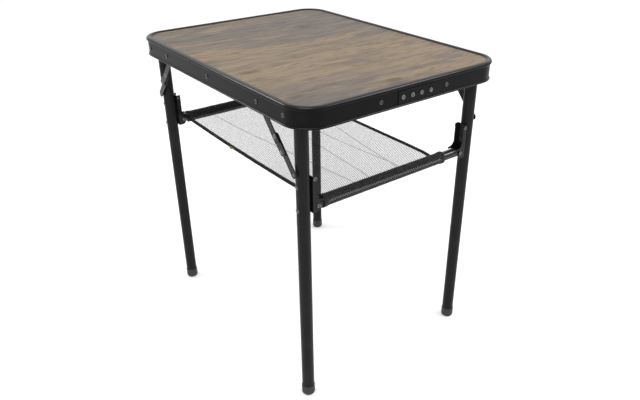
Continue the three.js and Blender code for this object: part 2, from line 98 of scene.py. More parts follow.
# Sizes that the frame doesn't give
FIT_GAP = 0.0003  # between pieces that touch
RIVET_ABOVE_FOLD = 0.0065  # from the fold axis up to the skirt's rivets
END_RIVET_MIDDLE = 0.006  # the end rivets sit off centre, toward +X
END_RIVET_REACH = 0.076  # from there out to each end rivet
PLATE_FACE = 0.0013  # from the skirt's face to the splice plate's outer face
BOLT_RADIUS = 0.0042
BOLT_RISE = 0.002
LEG_BOLTS = (0.041, -0.003)  # heads on a leg's outer side, from the crossbar's axis
LINK_RIVET_RADIUS = 0.0044
LINK_RIVET_RISE = 0.0013
LINK_THICKNESS = 0.002
LOCK_RIVET = 0.028  # from the elbow along the lock
HEAD_SEGMENTS = 20
SLEEVE_CLOTH = 0.0019  # from the crossbar to the sleeve's outside

# Long creases in the net: where each crosses the middle of the shelf, and how it leans as it goes back.
CREASES = ((-0.012, 0.11), (0.072, 0.17), (-0.092, -0.08), (0.026, -0.05))


# ------------ settings


def length(name, description, default):
    """A length setting, in metres."""
    return FloatProperty(name=name, description=description, default=default, unit="LENGTH", precision=5)


def share(name, description, default):
    """A setting from 0 to 1."""
    return FloatProperty(name=name, description=description, default=default, min=0, max=1, subtype="FACTOR")


def colour(name, description, default):
    """A linear colour setting."""
    return FloatVectorProperty(name=name, description=description, default=default, size=3, min=0, max=1,
                               subtype="COLOR")


class StageSettings(bpy.types.PropertyGroup):
    floor: colour("Floor", "Colour of the floor", (0.985, 0.985, 0.985))
    sky: FloatProperty(name="Sky", description="Strength of the white surroundings", default=1.0, min=0)
    key: FloatProperty(name="Key light", description="Power of the large light", default=26, min=0)
    rim: FloatProperty(name="Rim light", description="Power of the two small lights", default=20, min=0)


class BoardSettings(bpy.types.PropertyGroup):
    tan: colour("Tan", "Warm light wood", (0.205, 0.147, 0.086))
    grey: colour("Grey", "Weathered wood", (0.106, 0.088, 0.076))
    dark: colour("Dark", "Grain lines and knots", (0.042, 0.03, 0.022))
    streak: length("Streak", "Typical width of a colour streak", 0.024)
    grain: length("Grain", "Typical width of a grain line", 0.0025)


class MetalSettings(bpy.types.PropertyGroup):
    paint: colour("Paint", "Black powder coat", (0.0045, 0.0045, 0.005))
    paint_roughness: share("Paint roughness", "Gloss of the powder coat", 0.34)
    bright: colour("Bright", "Plated rivets and screws", (0.42, 0.42, 0.44))
    rivet: length("Rivet", "Radius of a rivet or screw head", 0.0044)
    rivet_rise: length("Rivet rise", "Height of a rivet or screw head", 0.0021)


class EdgeSettings(bpy.types.PropertyGroup):
    bead: length("Bead", "Radius of the upper bead", 0.0045)
    proud: length("Proud", "How far the bead stands out from the skirt", 0.0026)
    lip: length("Lip", "How far the lip reaches over the board", 0.0108)
    lower_bead: length("Lower bead", "Radius of the lower bead", 0.0019)
    corner: length("Corner", "Corner radius of the table", 0.051)
    wall: length("Wall", "Thickness of the skirt", 0.002)
    steps: IntProperty(name="Corner steps", description="Facets in each corner", default=20, min=4)


class ShelfSettings(bpy.types.PropertyGroup):
    thread: colour("Thread", "Net thread", (0.02, 0.02, 0.023))
    webbing: colour("Webbing", "Sleeves and bindings", (0.006, 0.006, 0.0072))
    stitch: colour("Stitch", "Pale stitching", (0.62, 0.62, 0.63))
    pitch: length("Pitch", "Distance between net threads", 0.0031)
    thread_width: length("Thread width", "Width of a net thread", 0.00082)
    sag: length("Sag", "How far the net hangs in its middle", 0.004)
    binding: length("Binding", "Width of the side bindings", 0.0085)
    tab: colour("Tab", "The small tabs on the bindings", (0.19, 0.18, 0.03))


# ------------ shader tools


class Shader:
    """Builds one material or node group, a node at a time."""

    def __init__(self, tree):
        self.tree = tree

    def node(self, kind, inputs=None, **settings):
        """Adds a node; inputs maps a socket's name or number to a value or to another node's output."""
        made = self.tree.nodes.new(kind)
        for name, value in settings.items():
            setattr(made, name, value)
        self.feed(made.inputs, inputs or {})
        return made

    def feed(self, sockets, values):
        """Sets sockets by name or number, each to a value or to another node's output."""
        for name, value in values.items():
            if isinstance(value, bpy.types.NodeSocket):
                self.tree.links.new(value, sockets[name])
            else:
                sockets[name].default_value = value

    def math(self, operation, *values, clamp=False):
        """A Math node's result."""
        inputs = dict(enumerate(values))
        return self.node("ShaderNodeMath", inputs, operation=operation, use_clamp=clamp).outputs[0]

    def spread(self, value, low, high, to_low=0.0, to_high=1.0):
        """A value remapped from low..high, held at its ends."""
        inputs = {0: value, 1: low, 2: high, 3: to_low, 4: to_high}
        return self.node("ShaderNodeMapRange", inputs, interpolation_type="SMOOTHSTEP").outputs[0]

    def mix(self, factor, a, b):
        """Two colours mixed by a factor."""
        a = (*a, 1) if isinstance(a, tuple) and len(a) == 3 else a
        b = (*b, 1) if isinstance(b, tuple) and len(b) == 3 else b
        inputs = {"Factor": factor, 6: a, 7: b}
        return self.node("ShaderNodeMix", inputs, data_type="RGBA").outputs[2]

    def noise(self, vector, scale, detail=3.0, roughness=0.5):
        """Noise at a scale."""
        inputs = {"Vector": vector, "Scale": scale, "Detail": detail, "Roughness": roughness}
        return self.node("ShaderNodeTexNoise", inputs).outputs[0]

    def place(self, vector, scale):
        """A scaled vector."""
        return self.node("ShaderNodeMapping", {"Vector": vector, "Scale": scale}).outputs[0]

    def split(self, vector):
        """X, Y and Z of a vector."""
        return self.node("ShaderNodeSeparateXYZ", {0: vector}).outputs

    def bump(self, height, distance, strength=1.0):
        """A bumped normal; distance is in metres."""
        inputs = {"Height": height, "Distance": distance, "Strength": strength}
        return self.node("ShaderNodeBump", inputs).outputs[0]


def shader_group(name, inputs, outputs):
    """A new shader node group; inputs maps a name to a default, outputs lists (name, kind)."""
    tree = bpy.data.node_groups.new(name, "ShaderNodeTree")
    for socket, default in inputs.items():
        kind = "NodeSocketFloat" if isinstance(default, (int, float)) else (
            "NodeSocketVector" if default is None else "NodeSocketColor")
        made = tree.interface.new_socket(socket, in_out="INPUT", socket_type=kind)
        if default is not None:
            made.default_value = default
    for socket, kind in outputs:
        tree.interface.new_socket(socket, in_out="OUTPUT", socket_type=kind)
    build = Shader(tree)
    given = build.node("NodeGroupInput").outputs
    results = build.node("NodeGroupOutput").inputs
    return build, given, results


def new_material(name):
    """A material's Shader, its Principled BSDF and its object coordinates."""
    material = bpy.data.materials.new(name)
    material.use_nodes = True
    build = Shader(material.node_tree)
    material.node_tree.nodes.clear()
    surface = build.node("ShaderNodeBsdfPrincipled")
    output = build.node("ShaderNodeOutputMaterial", {"Surface": surface.outputs[0]})
    output.target = "ALL"
    where = build.node("ShaderNodeTexCoord").outputs["Object"]
    return material, build, surface, where


def powder_coat_group():
    """Orange peel, dust and rubbed patches of a powder coat."""
    build, given, results = shader_group(
        "powder_coat",
        {"Vector": None, "Colour": (0.02, 0.02, 0.02, 1), "Roughness": 0.4, "Dust": 0.2},
        [("Colour", "NodeSocketColor"), ("Roughness", "NodeSocketFloat"), ("Height", "NodeSocketFloat")])
    peel = build.noise(given["Vector"], 900, 2)
    patches = build.noise(given["Vector"], 22, 4, 0.6)
    specks = build.noise(given["Vector"], 2600, 1)
    dusty = build.math("MULTIPLY", build.spread(patches, 0.42, 0.75), given["Dust"])
    speck = build.math("MULTIPLY", build.spread(specks, 0.62, 0.78), 0.35)
    pale = build.mix(build.math("MULTIPLY", dusty, 0.22), given["Colour"], (0.07, 0.068, 0.066))
    speckled = build.mix(build.math("MULTIPLY", speck, 0.12), pale, (0.1, 0.1, 0.1))
    rough = build.math("ADD", given["Roughness"], build.math("MULTIPLY", dusty, 0.35))
    rough = build.math("ADD", rough, build.math("MULTIPLY", speck, 0.2), clamp=True)
    build.feed(results, {"Colour": speckled, "Roughness": rough, "Height": peel})
    return build.tree


def weave_group():
    """Fine plain-woven or knitted mesh: a height, and a colour with a painted highlight on the raised
    threads, in noisy patches.
    """
    build, given, results = shader_group(
        "weave",
        {"Vector": None, "Pitch": 0.001, "Colour": (0.02, 0.02, 0.02, 1), "Highlight": (0.1, 0.1, 0.1, 1)},
        [("Colour", "NodeSocketColor"), ("Height", "NodeSocketFloat")])
    wobble = build.noise(given["Vector"], 60, 2)
    turns = build.math("DIVIDE", 2 * math.pi, given["Pitch"])
    x, y, z = build.split(given["Vector"])
    across = build.math("ADD", build.math("MULTIPLY", x, turns), build.math("MULTIPLY", wobble, 3))
    round_ = build.math("MULTIPLY", build.math("ADD", y, z), turns)
    over = build.math("SINE", build.math("ADD", across, round_))
    under = build.math("SINE", build.math("SUBTRACT", across, round_))
    height = build.math("MULTIPLY_ADD", build.math("MULTIPLY", over, under), 0.5, 0.5)
    highlight_patches = build.noise(given["Vector"], 300, 2)
    # painted highlight: the raised crowns of the threads are coloured lighter, in noisy patches
    lit = build.math("MULTIPLY", build.spread(height, 0.55, 0.95), build.spread(highlight_patches, 0.35, 0.7))
    build.feed(results, {"Colour": build.mix(lit, given["Colour"], given["Highlight"]), "Height": height})
    return build.tree


def place_group(build, tree, inputs):
    """Places a node group in a material."""
    return build.node("ShaderNodeGroup", inputs, node_tree=tree).outputs


def shared_group(name, make):
    """A node group, made the first time it is asked for."""
    return bpy.data.node_groups.get(name) or make()


def facing_up_group():
    """A mask of the surfaces that face the sky, where a coat catches the light."""
    build, given, results = shader_group(
        "facing_up", {"Low": 0.0, "High": 1.0}, [("Mask", "NodeSocketFloat")])
    up = build.split(build.node("ShaderNodeNewGeometry").outputs["Normal"])[2]
    build.feed(results, {"Mask": build.spread(up, 0.1, 0.8, given["Low"], given["High"])})
    return build.tree


def painted_metal(name, roughness_shift=0.0, dust=0.25, tint=(1, 1, 1), gloss=0.5, sides=0.05):
    """Black powder-coated metal; gloss and sides are the clear coat on its upper and its upright surfaces."""
    settings = bpy.context.scene.table_metal
    material, build, surface, where = new_material(name)
    base = tuple(c * t for c, t in zip(settings.paint, tint))
    coat = place_group(build, shared_group("powder_coat", powder_coat_group), {
        "Vector": where, "Colour": (*base, 1), "Roughness": settings.paint_roughness + roughness_shift,
        "Dust": dust})
    facing = place_group(build, shared_group("facing_up", facing_up_group), {"Low": sides, "High": gloss})
    build.feed(surface.inputs, {
        "Base Color": coat["Colour"], "Roughness": coat["Roughness"], "Coat Weight": facing["Mask"],
        "Normal": build.bump(coat["Height"], 0.00004, 0.5), "Specular IOR Level": 0.06,
        "Coat Roughness": 0.14})
    return material


def bright_metal(name, level, roughness):
    """Plated steel of rivets and screws, with fine turning marks."""
    settings = bpy.context.scene.table_metal
    material, build, surface, where = new_material(name)
    marks = build.noise(build.place(where, (1, 1, 3)), 700, 3, 0.6)
    tarnish = build.noise(where, 160, 3)
    clean = tuple(c * level for c in settings.bright)
    dull = tuple(c * level * 0.55 for c in settings.bright)
    build.feed(surface.inputs, {
        "Base Color": build.mix(build.spread(tarnish, 0.35, 0.7), clean, dull),
        "Roughness": build.spread(marks, 0.3, 0.7, roughness - 0.06, roughness + 0.12),
        "Normal": build.bump(marks, 0.00002, 0.4), "Metallic": 1})
    return material


def moulded_rubber():
    """Matt black moulded rubber, scuffed where it meets the ground."""
    material, build, surface, where = new_material("moulded_rubber")
    height = build.split(where)[2]
    skin = build.noise(where, 1300, 2)
    scuff = build.math("MULTIPLY", build.spread(build.noise(where, 140, 3, 0.65), 0.45, 0.7),
                       build.spread(height, 0.009, 0.0))
    build.feed(surface.inputs, {
        "Base Color": build.mix(scuff, (0.011, 0.011, 0.012), (0.055, 0.052, 0.048)),
        "Roughness": build.spread(skin, 0.3, 0.7, 0.5, 0.68), "Normal": build.bump(skin, 0.00005, 0.5)})
    return material


def woven_cloth(name, pitch, sheen=0.1, dye=None, highlight_lift=0.02):
    """Woven or knitted cloth of the sleeves, bindings and tabs, with a painted highlight on its raised
    threads.
    """
    dye = dye or tuple(bpy.context.scene.table_shelf.webbing)
    material, build, surface, where = new_material(name)
    # painted highlight colour for the raised thread crowns: the dye brightened and lifted
    lit = tuple(min(1, c * 5 + highlight_lift) for c in dye)
    cloth = place_group(build, shared_group("weave", weave_group), {
        "Vector": where, "Pitch": pitch, "Colour": (*dye, 1), "Highlight": (*lit, 1)})
    build.feed(surface.inputs, {
        "Base Color": cloth["Colour"], "Roughness": build.spread(cloth["Height"], 0, 1, 0.85, 0.6),
        "Normal": build.bump(cloth["Height"], pitch * 0.25, 0.7), "Specular IOR Level": 0.15,
        "Sheen Weight": sheen, "Sheen Roughness": 0.4})
    return material


def stitch_thread():
    """Pale sewing thread with its twist."""
    settings = bpy.context.scene.table_shelf
    material, build, surface, where = new_material("sewing_thread")
    twist = build.noise(where, 1800, 2)
    pale = tuple(settings.stitch)
    build.feed(surface.inputs, {
        "Base Color": build.mix(build.spread(twist, 0.35, 0.65), tuple(c * 0.55 for c in pale), pale),
        "Roughness": build.spread(twist, 0.3, 0.7, 0.5, 0.75), "Normal": build.bump(twist, 0.0001, 0.5)})
    return material


def grain_group():
    """Plank grain along X: colour streaks, fine lines, cracks and knots, bent by slow waves."""
    build, given, results = shader_group(
        "grain", {"Vector": None, "Streak": 0.03, "Grain": 0.003},
        [(name, "NodeSocketFloat") for name in ("Streaks", "Lines", "Cracks", "Knots", "Smudges", "Pores")])
    bend = build.noise(build.place(given["Vector"], (4.5, 9, 1)), 1, 3, 0.55)
    ripple = build.noise(build.place(given["Vector"], (22, 34, 1)), 1, 2, 0.5)
    warp = build.math("MULTIPLY", build.math("SUBTRACT", bend, 0.5), 0.06)
    warp = build.math("ADD", warp, build.math("MULTIPLY", build.math("SUBTRACT", ripple, 0.5), 0.008))
    x, y, z = build.split(given["Vector"])
    bent = build.math("ADD", y, warp)

    def stretched(along, across):
        """Coordinates that make noise long in X; across is counted per metre."""
        inputs = {0: build.math("MULTIPLY", x, along), 1: build.math("MULTIPLY", bent, across), 2: z}
        return build.node("ShaderNodeCombineXYZ", inputs).outputs[0]

    streaks = build.noise(stretched(3.2, build.math("DIVIDE", 1, given["Streak"])), 1, 5, 0.62)
    lines = build.noise(stretched(16, build.math("DIVIDE", 1, given["Grain"])), 1, 5, 0.7)
    crack = build.noise(stretched(8, 84), 1, 3, 0.55)
    apart = build.math("ABSOLUTE", build.math("SUBTRACT", crack, 0.5))
    cracks = build.spread(apart, 0.02, 0.0)
    cells = build.node("ShaderNodeTexVoronoi", {"Vector": stretched(11, 30), "Scale": 1, "Randomness": 1})
    chosen = build.spread(build.split(cells.outputs["Color"])[0], 0.55, 0.72)
    build.feed(results, {
        "Streaks": streaks, "Lines": lines, "Cracks": cracks,
        "Knots": build.math("MULTIPLY", build.spread(cells.outputs["Distance"], 0.36, 0.05), chosen),
        "Smudges": build.noise(build.place(given["Vector"], (12, 24, 1)), 1, 4, 0.62),
        "Pores": build.noise(build.place(given["Vector"], (150, 900, 1)), 1, 2, 0.5)})
    return build.tree


def rustic_wood():
    """Printed laminate: rustic planks, warm in the middle and greyer at the ends."""
    settings = bpy.context.scene.table_board
    material, build, surface, where = new_material("rustic_laminate")
    grain = place_group(build, grain_group(), {
        "Vector": where, "Streak": settings.streak, "Grain": settings.grain})
    tan, grey, dark = tuple(settings.tan), tuple(settings.grey), tuple(settings.dark)
    x, y, _ = build.split(where)
    from_warmth = build.math("ABSOLUTE", build.math("ADD", y, build.math("MULTIPLY_ADD", x, 0.45, 0.115)))
    band = build.spread(from_warmth, 0.3, 0.03)
    warmth = build.math("MULTIPLY_ADD", band, 0.2, grain["Streaks"])
    colour_ = build.mix(build.spread(warmth, 0.46, 0.74), grey, tan)
    pale = build.math("MULTIPLY", build.spread(grain["Lines"], 0.45, 0.33), 0.4)
    colour_ = build.mix(pale, colour_, tuple(c * 1.35 for c in tan))
    colour_ = build.mix(build.math("MULTIPLY", build.spread(grain["Lines"], 0.52, 0.66), 0.6), colour_, dark)
    torn = build.math("MULTIPLY", grain["Cracks"], build.spread(grain["Streaks"], 0.42, 0.6))
    colour_ = build.mix(build.math("MULTIPLY", torn, 0.8), colour_, dark)
    colour_ = build.mix(build.math("MULTIPLY", grain["Knots"], 0.7), colour_, dark)
    smudged = build.math("MULTIPLY", build.spread(grain["Smudges"], 0.5, 0.7), 0.6)
    colour_ = build.mix(smudged, colour_, (0.087, 0.074, 0.069))
    cool = build.math("MULTIPLY", build.spread(grain["Smudges"], 0.44, 0.3), 0.35)
    colour_ = build.mix(cool, colour_, (0.155, 0.142, 0.137))
    colour_ = build.mix(build.math("MULTIPLY", build.spread(grain["Pores"], 0.55, 0.72), 0.25), colour_, dark)
    height = build.math("MULTIPLY", grain["Pores"], grain["Lines"])
    build.feed(surface.inputs, {
        "Base Color": colour_, "Roughness": build.spread(grain["Lines"], 0.35, 0.65, 0.42, 0.6),
        "Normal": build.bump(height, 0.00015, 0.35), "Specular IOR Level": 0.3})
    return material


def net_material():
    """Open net: two families of dark threads, one much heavier, gathered in a few long creases."""
    settings = bpy.context.scene.table_shelf
    material, build, surface, where = new_material("open_net")
    x, y, _ = build.split(where)
    slide = build.math("MULTIPLY", build.math("SUBTRACT", build.noise(where, 7, 2), 0.5), 0.022)
    threads = None
    for slope, weight in ((-0.695, 1.4), (1.45, 0.6)):
        norm = 1 / (settings.pitch * math.hypot(1, slope))
        run = build.math("MULTIPLY_ADD", x, slope, build.math("ADD", y, slide))
        phase = build.math("FRACT", build.math("MULTIPLY", run, norm))
        off = build.math("ABSOLUTE", build.math("SUBTRACT", phase, 0.5))
        half = settings.thread_width / settings.pitch * weight / 2
        family = build.spread(off, half * 0.8, half * 1.2, 1, 0)
        threads = family if threads is None else build.math("MAXIMUM", threads, family)
    gather = None
    for at, lean in CREASES:
        off = build.math("ABSOLUTE", build.math("SUBTRACT", build.math("MULTIPLY_ADD", y, lean, at), x))
        line = build.math("MULTIPLY", build.spread(off, 0.0028, 0.0004), 0.42)
        gather = line if gather is None else build.math("MAXIMUM", gather, line)
    tone = build.noise(where, 500, 2)
    build.feed(surface.inputs, {
        "Base Color": build.mix(tone, tuple(settings.thread), tuple(c * 2.4 for c in settings.thread)),
        "Roughness": build.spread(tone, 0.3, 0.7, 0.5, 0.75),
        "Alpha": build.math("MAXIMUM", threads, gather), "Normal": build.bump(threads, 0.0002, 0.5),
        "Specular IOR Level": 0.3})
    return material


# ------------ mesh tools


def new_piece(name, bm, material, body=None, smooth=True, replaces=()):
    """Turns a bmesh into a piece in the scene; face normals are made to point out."""
    bmesh.ops.recalc_face_normals(bm, faces=bm.faces)
    mesh = bpy.data.meshes.new(name)
    bm.to_mesh(mesh)
    bm.free()
    for face in mesh.polygons:
        face.use_smooth = smooth
    piece = bpy.data.objects.new(name, mesh)
    bpy.context.scene.collection.objects.link(piece)
    piece.data.materials.append(material)
    if replaces:
        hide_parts(*replaces)
    if body:
        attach(piece, body)
    return piece


def bevelled(piece, width, segments=2, limit=35):
    """Rounds a piece's sharp edges a little, and keeps its flat faces flat."""
    bevel = piece.modifiers.new("edge_round", "BEVEL")
    bevel.width = width
    bevel.segments = segments
    bevel.limit_method = "ANGLE"
    bevel.angle_limit = math.radians(limit)
    bevel.harden_normals = True
    return piece


def smooth_by_angle(limit=32):
    """A geometry node group that welds a mesh and shades it smooth except at its sharp edges."""
    name = "smooth_by_angle"
    if name in bpy.data.node_groups:
        return bpy.data.node_groups[name]
    tree = bpy.data.node_groups.new(name, "GeometryNodeTree")
    tree.interface.new_socket("Geometry", in_out="INPUT", socket_type="NodeSocketGeometry")
    tree.interface.new_socket("Geometry", in_out="OUTPUT", socket_type="NodeSocketGeometry")
    build = Shader(tree)
    given = build.node("NodeGroupInput").outputs[0]
    welded = build.node("GeometryNodeMergeByDistance", {"Geometry": given, "Distance": 0.000004}).outputs[0]
    angle = build.node("GeometryNodeInputMeshEdgeAngle").outputs["Unsigned Angle"]
    soft = build.node("FunctionNodeCompare", {0: angle, 1: math.radians(limit)}, operation="LESS_EQUAL",
                      data_type="FLOAT").outputs[0]
    faces = build.node("GeometryNodeSetShadeSmooth", {"Geometry": welded, "Shade Smooth": True},
                       domain="FACE").outputs[0]
    edges = build.node("GeometryNodeSetShadeSmooth", {"Geometry": faces, "Shade Smooth": soft},
                       domain="EDGE").outputs[0]
    build.node("NodeGroupOutput", {0: edges})
    return tree


def dress(nodes, material, round_edges=0.0003):
    """Gives kept CAD nodes a finish, smooth shading and slightly rounded edges."""
    for node in nodes:
        piece = NODES[node]
        if piece.material_slots:
            for held in piece.material_slots:
                held.material = material
        else:
            piece.data.materials.append(material)
        smoothed(piece)
        if round_edges:
            bevelled(piece, round_edges)


def smoothed(piece):
    """Gives a piece the weld and the shading by angle."""
    modifier = piece.modifiers.new("smooth_by_angle", "NODES")
    modifier.node_group = smooth_by_angle()


def ring_faces(bm, rings, closed_ring=True, closed_run=False):
    """Joins rows of vertices with quads."""
    count = len(rings[0])
    pairs = list(zip(rings, rings[1:] + rings[:1])) if closed_run else list(zip(rings, rings[1:]))
    for a, b in pairs:
        for i in range(count if closed_ring else count - 1):
            j = (i + 1) % count
            bm.faces.new((a[i], a[j], b[j], b[i]))


def lathe(profile, axis, origin, segments):
    """A bmesh solid turned about an axis, from (radius, height) pairs that start and end on the axis."""
    bm = bmesh.new()
    turn = Vector(axis).to_track_quat("Z", "Y").to_matrix()
    origin = Vector(origin)
    rings = []
    for radius, height in profile[1:-1]:
        ring = []
        for i in range(segments):
            angle = 2 * math.pi * i / segments
            point = Vector((radius * math.cos(angle), radius * math.sin(angle), height))
            ring.append(bm.verts.new(turn @ point + origin))
        rings.append(ring)
    ring_faces(bm, rings)
    for (radius, height), ring in ((profile[0], rings[0]), (profile[-1], rings[-1])):
        tip = bm.verts.new(turn @ Vector((0, 0, height)) + origin)
        for i in range(segments):
            bm.faces.new((tip, ring[i], ring[(i + 1) % segments]))
    return bm


def merge(target, source):
    """Adds one bmesh to another."""
    mesh = bpy.data.meshes.new("merge")
    source.to_mesh(mesh)
    source.free()
    target.from_mesh(mesh)
    bpy.data.meshes.remove(mesh)


def rivet_profile(radius, rise, root, dimple=0.0):
    """A domed head with a small flange, from its root to its crown."""
    dome = [(radius * math.cos(a), rise * (0.25 + 0.75 * math.sin(a)))
            for a in [math.pi / 2 * i / 6 for i in range(1, 6)]]
    crown = [(radius * 0.28, rise - dimple * 0.2), (radius * 0.2, rise - dimple)] if dimple else []
    return [(0, -root), (radius, -root), (radius, rise * 0.18), *dome, *crown, (0, rise - dimple)]


def add_head(target, axis, place, radius, rise, root, dimple=0.0):
    """Adds the head of a rivet, screw or bolt that stands on a face."""
    merge(target, lathe(rivet_profile(radius, rise, root, dimple), axis, place, HEAD_SEGMENTS))


# ------------ operators


class TABLE_OT_stage(bpy.types.Operator):
    """Camera, floor and studio light"""
    bl_idname = "camp_table.stage"
    bl_label = "Stage"

    def execute(self, context):
        settings = context.scene.table_stage
        camera = bpy.data.objects.new("camera", bpy.data.cameras.new("camera"))
        context.scene.collection.objects.link(camera)
        camera.location = (-0.7188, -1.01245, 0.9321)
        heading, dip = math.radians(52.13), math.radians(28.6)
        ahead = Vector((math.cos(heading) * math.cos(dip), math.sin(heading) * math.cos(dip), -math.sin(dip)))
        camera.rotation_mode = "QUATERNION"
        camera.rotation_quaternion = ahead.to_track_quat("-Z", "Y")
        camera.data.sensor_width = 36
        camera.data.lens = 35.16
        camera.data.shift_x = -0.0248
        camera.data.shift_y = 0.0024
        camera.data.clip_start = 0.01
        context.scene.camera = camera

        bm = bmesh.new()
        bmesh.ops.create_circle(bm, cap_ends=True, radius=14, segments=96)
        material, build, surface, where = new_material("studio_floor")
        tone = build.noise(where, 1.5, 3)
        pale = tuple(settings.floor)
        dim = tuple(c * 0.985 for c in pale)
        build.feed(surface.inputs, {"Base Color": build.mix(tone, dim, pale), "Roughness": 0.85})
        floor = new_piece("studio_floor", bm, material, smooth=False)
        floor.location.z = -0.0004

        world = bpy.data.worlds.new("studio")
        context.scene.world = world
        world.use_nodes = True
        background = world.node_tree.nodes["Background"]
        background.inputs["Color"].default_value = (1, 1, 1, 1)
        background.inputs["Strength"].default_value = settings.sky
        self.light(context, "key", (-1.3, -1.1, 2.4), 1.6, settings.key)
        self.light(context, "side", (1.5, -1.5, 1.9), 0.8, settings.rim)
        self.light(context, "rim", (-1.5, 1.9, 1.7), 0.8, settings.rim)
        context.scene.view_settings.view_transform = "Standard"
        return {"FINISHED"}

    def light(self, context, name, place, size, power):
        aim = Vector((0, 0, 0.35))
        data = bpy.data.lights.new(name, "AREA")
        data.size = size
        data.energy = power
        lamp = bpy.data.objects.new(name, data)
        context.scene.collection.objects.link(lamp)
        lamp.location = place
        lamp.rotation_mode = "QUATERNION"
        lamp.rotation_quaternion = (aim - Vector(place)).to_track_quat("-Z", "Y")


class TABLE_OT_board(bpy.types.Operator):
    """Laminated board with its wood print"""
    bl_idname = "camp_table.board"
    bl_label = "Board"

    def execute(self, context):
        dress(["tabletop_board"], rustic_wood(), 0.0002)
        return {"FINISHED"}


def edge_section(settings):
    """The edge rail's section as (inset from the outline, depth below the rim) points, in order round it."""
    bead, proud = settings.bead, settings.proud
    inner = proud + settings.wall
    lower = settings.lower_bead
    deep = EDGE_HIGH.z - EDGE_LOW.z
    rest = EDGE_HIGH.z - BOARD_HIGH.z
    points = [(settings.lip, rest - FIT_GAP), (settings.lip, rest - 0.0008),
              (settings.lip - 0.0005, rest - 0.0013)]
    points += [(bead + 0.0042, 0.0007), (bead + 0.0036, 0.0009), (bead + 0.003, 0.0007)]
    points += [(bead + 0.0022, 0.0001), (bead + 0.001, 0.0)]
    start, stop = math.radians(90), math.radians(90 + 155)
    for i in range(15):
        angle = start + (stop - start) * i / 14
        points.append((bead + bead * math.cos(angle), bead - bead * math.sin(angle)))
    web_top = 2 * bead + 0.0004
    web_end = deep - 2 * lower - 0.0006
    points.append((proud, web_top))
    points.append((proud, web_end))
    for i in range(9):
        angle = math.pi / 2 + math.pi * i / 8
        points.append((proud + lower * math.cos(angle), deep - lower - lower * math.sin(angle)))
    points += [(proud + 0.003, deep), (proud + 0.003, deep - 0.002), (inner, deep - 0.002)]
    board_under = EDGE_HIGH.z - BOARD_LOW.z + FIT_GAP
    points += [(inner, board_under + 0.0016), (0.009, board_under + 0.0016), (0.009, board_under),
               (inner, board_under), (inner, rest - FIT_GAP)]
    return points


class TABLE_OT_edge_frame(bpy.types.Operator):
    """Extruded edge rails with their beads, the splice plates and the rivets through the skirt"""
    bl_idname = "camp_table.edge_frame"
    bl_label = "Edge frame"

    def execute(self, context):
        settings = context.scene.table_edge
        section = edge_section(settings)
        material = painted_metal("edge_coat", -0.04, 0.15, gloss=0.5, sides=0.0)
        for hand, side in HANDS.items():
            bm = bmesh.new()
            rings = []
            for place, inward in self.stations(settings, side):
                rings.append([bm.verts.new(place + inward * inset - Vector((0, 0, depth)))
                              for inset, depth in section])
            ring_faces(bm, rings)
            bm.faces.new(rings[0])
            bm.faces.new(rings[-1])
            rail = new_piece(f"edge_rail_{hand}", bm, material, "top",
                             replaces=[f"edge_frame_{hand}"])
            smoothed(rail)
        dress(["splice_plate_front", "splice_plate_back"],
              painted_metal("plate_coat", 0.1, 0.15, (0.6, 0.6, 0.6)), 0.0002)
        self.rivets(context, settings)
        return {"FINISHED"}

    def stations(self, settings, side):
        """Points along one half of the outline, with the way inward at each."""
        radius = settings.corner
        x, y = EDGE_HIGH.x - radius, EDGE_HIGH.y - radius
        seam = SEAM[side]
        top = EDGE_HIGH.z
        yield Vector((seam, -side * EDGE_HIGH.y, top)), Vector((0, side, 0))
        for cy, first in ((-y, -90), (y, 0)):
            for i in range(settings.steps + 1):
                angle = math.radians(first + 90 * i / settings.steps)
                out = Vector((math.cos(angle), math.sin(angle), 0)) * side
                yield Vector((side * x, side * cy, top)) + out * radius, -out
        yield Vector((seam, side * EDGE_HIGH.y, top)), Vector((0, -side, 0))

    def rivets(self, context, settings):
        """Blackened domed heads on the skirt and plated screws on the splice plates."""
        metal = context.scene.table_metal
        dark = bright_metal("blackened_rivet", 0.2, 0.16)
        bright = bright_metal("screw_steel", 0.34, 0.16)
        face_x = EDGE_HIGH.x - settings.proud
        face_y = EDGE_HIGH.y - settings.proud
        height = FOLD_Z + RIVET_ABOVE_FOLD
        brace_y = abs(JOINT_AT["brace_upper_pivot_back_right"].y)
        corner_y = EDGE_HIGH.y - settings.corner
        for hand, side in HANDS.items():
            bm = bmesh.new()
            for y in (-corner_y, -brace_y, 0, brace_y, corner_y):
                add_head(bm, (side, 0, 0), (side * face_x, y, height), metal.rivet, metal.rivet_rise,
                         0.0004, 0.0003)
            for end in ENDS.values():
                place = (END_RIVET_MIDDLE + side * END_RIVET_REACH, end * face_y, height)
                add_head(bm, (0, end, 0), place, metal.rivet, metal.rivet_rise, 0.0004, 0.0003)
            new_piece(f"skirt_rivets_{hand}", bm, dark, "top")
        for end, way in ENDS.items():
            low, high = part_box(f"splice_plate_{end}")
            outer = face_y + PLATE_FACE
            bm = bmesh.new()
            for i in range(4):
                x = low.x + (high.x - low.x) * (i + 0.5) / 4
                place = (x, way * outer, (low.z + high.z) / 2)
                add_head(bm, (0, way, 0), place, metal.rivet, metal.rivet_rise, 0.0003, 0.0004)
            new_piece(f"splice_screws_{end}", bm, bright, "top")


